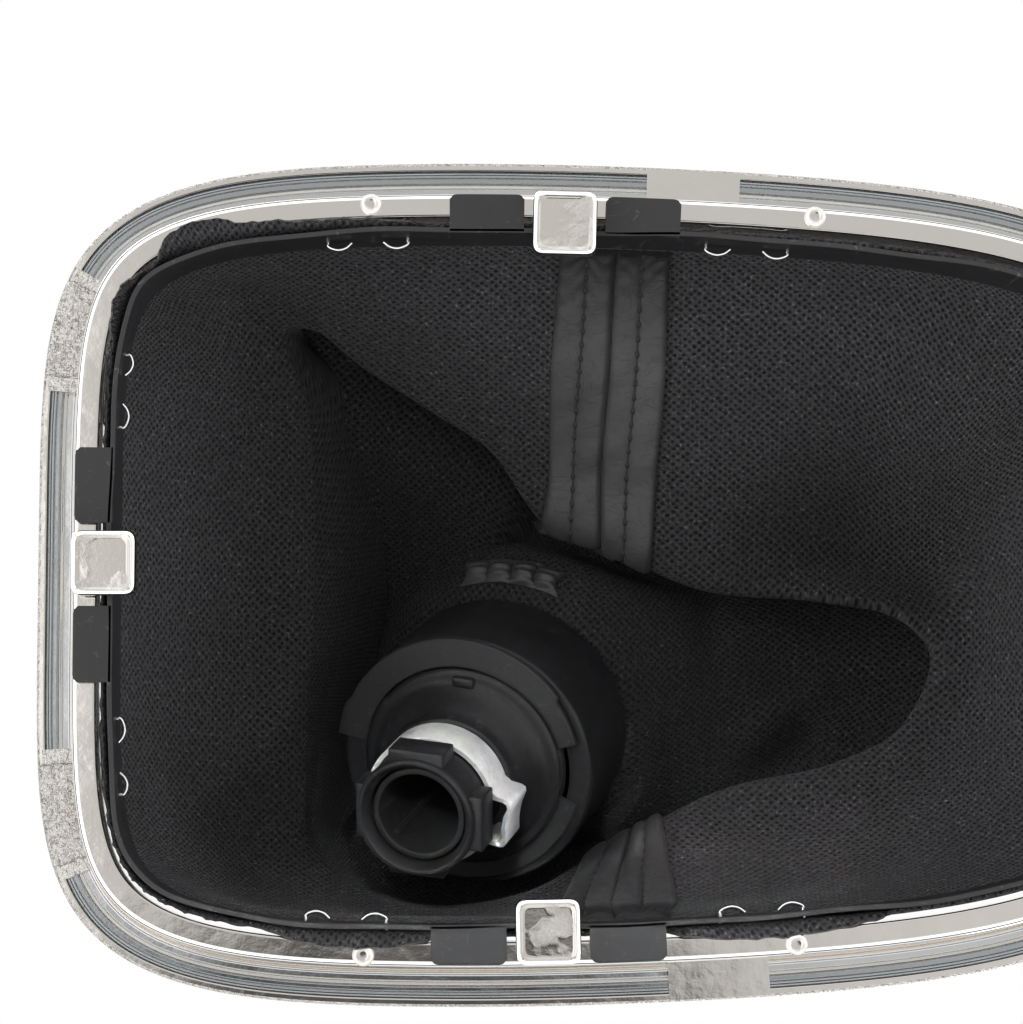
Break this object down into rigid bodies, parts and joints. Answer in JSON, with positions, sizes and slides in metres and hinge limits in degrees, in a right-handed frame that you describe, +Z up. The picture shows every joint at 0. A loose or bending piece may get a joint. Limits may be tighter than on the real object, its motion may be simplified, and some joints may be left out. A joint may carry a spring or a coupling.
{
  "type": "gear knob with gaiter",
  "caption": "Gear knob with a folded leather gaiter, stapled to a black carrier that hooks into a chromed trim frame.",
  "frame": {"origin": "under the middle of the trim frame, level with the tips of its four hooks, on which the part rests", "axes": "+X along the frame towards its narrow end, +Y across it, +Z up through the gaiter to the knob"},
  "size_m": [0.176, 0.1258, 0.1209],
  "materials": {
    "chrome_trim": "bright chrome plating on moulded plastic",
    "black_plastic": "moulded, lightly grained",
    "gaiter_leather": "grained outside, knitted backing inside",
    "strip_leather": "smooth, with lines of stitches",
    "grip_leather": "grained and stitched",
    "zinc_steel": "zinc plated",
    "staple_steel": "bright wire",
    "bush_rubber": "matt",
    "gloss_black": "gloss"
  },
  "bodies": {
    "root": {"trim_frame": "chrome_trim", "carrier_frame": "black_plastic", "gaiter": "gaiter_leather", "seam_strip_front": "strip_leather", "seam_strip_back": "strip_leather", "staple_1": "staple_steel", "staple_2": "staple_steel", "staple_3": "staple_steel", "staple_4": "staple_steel", "staple_5": "staple_steel", "staple_6": "staple_steel", "staple_7": "staple_steel", "staple_8": "staple_steel", "knob_core": "black_plastic", "lever_bush": "bush_rubber", "ear_clamp": "zinc_steel", "retaining_clip": "black_plastic", "gaiter_collar": "black_plastic", "base_ring": "chrome_trim", "knob_grip": "grip_leather", "cap_ring": "chrome_trim", "knob_cap": "gloss_black"}
  },
  "joints": []
}
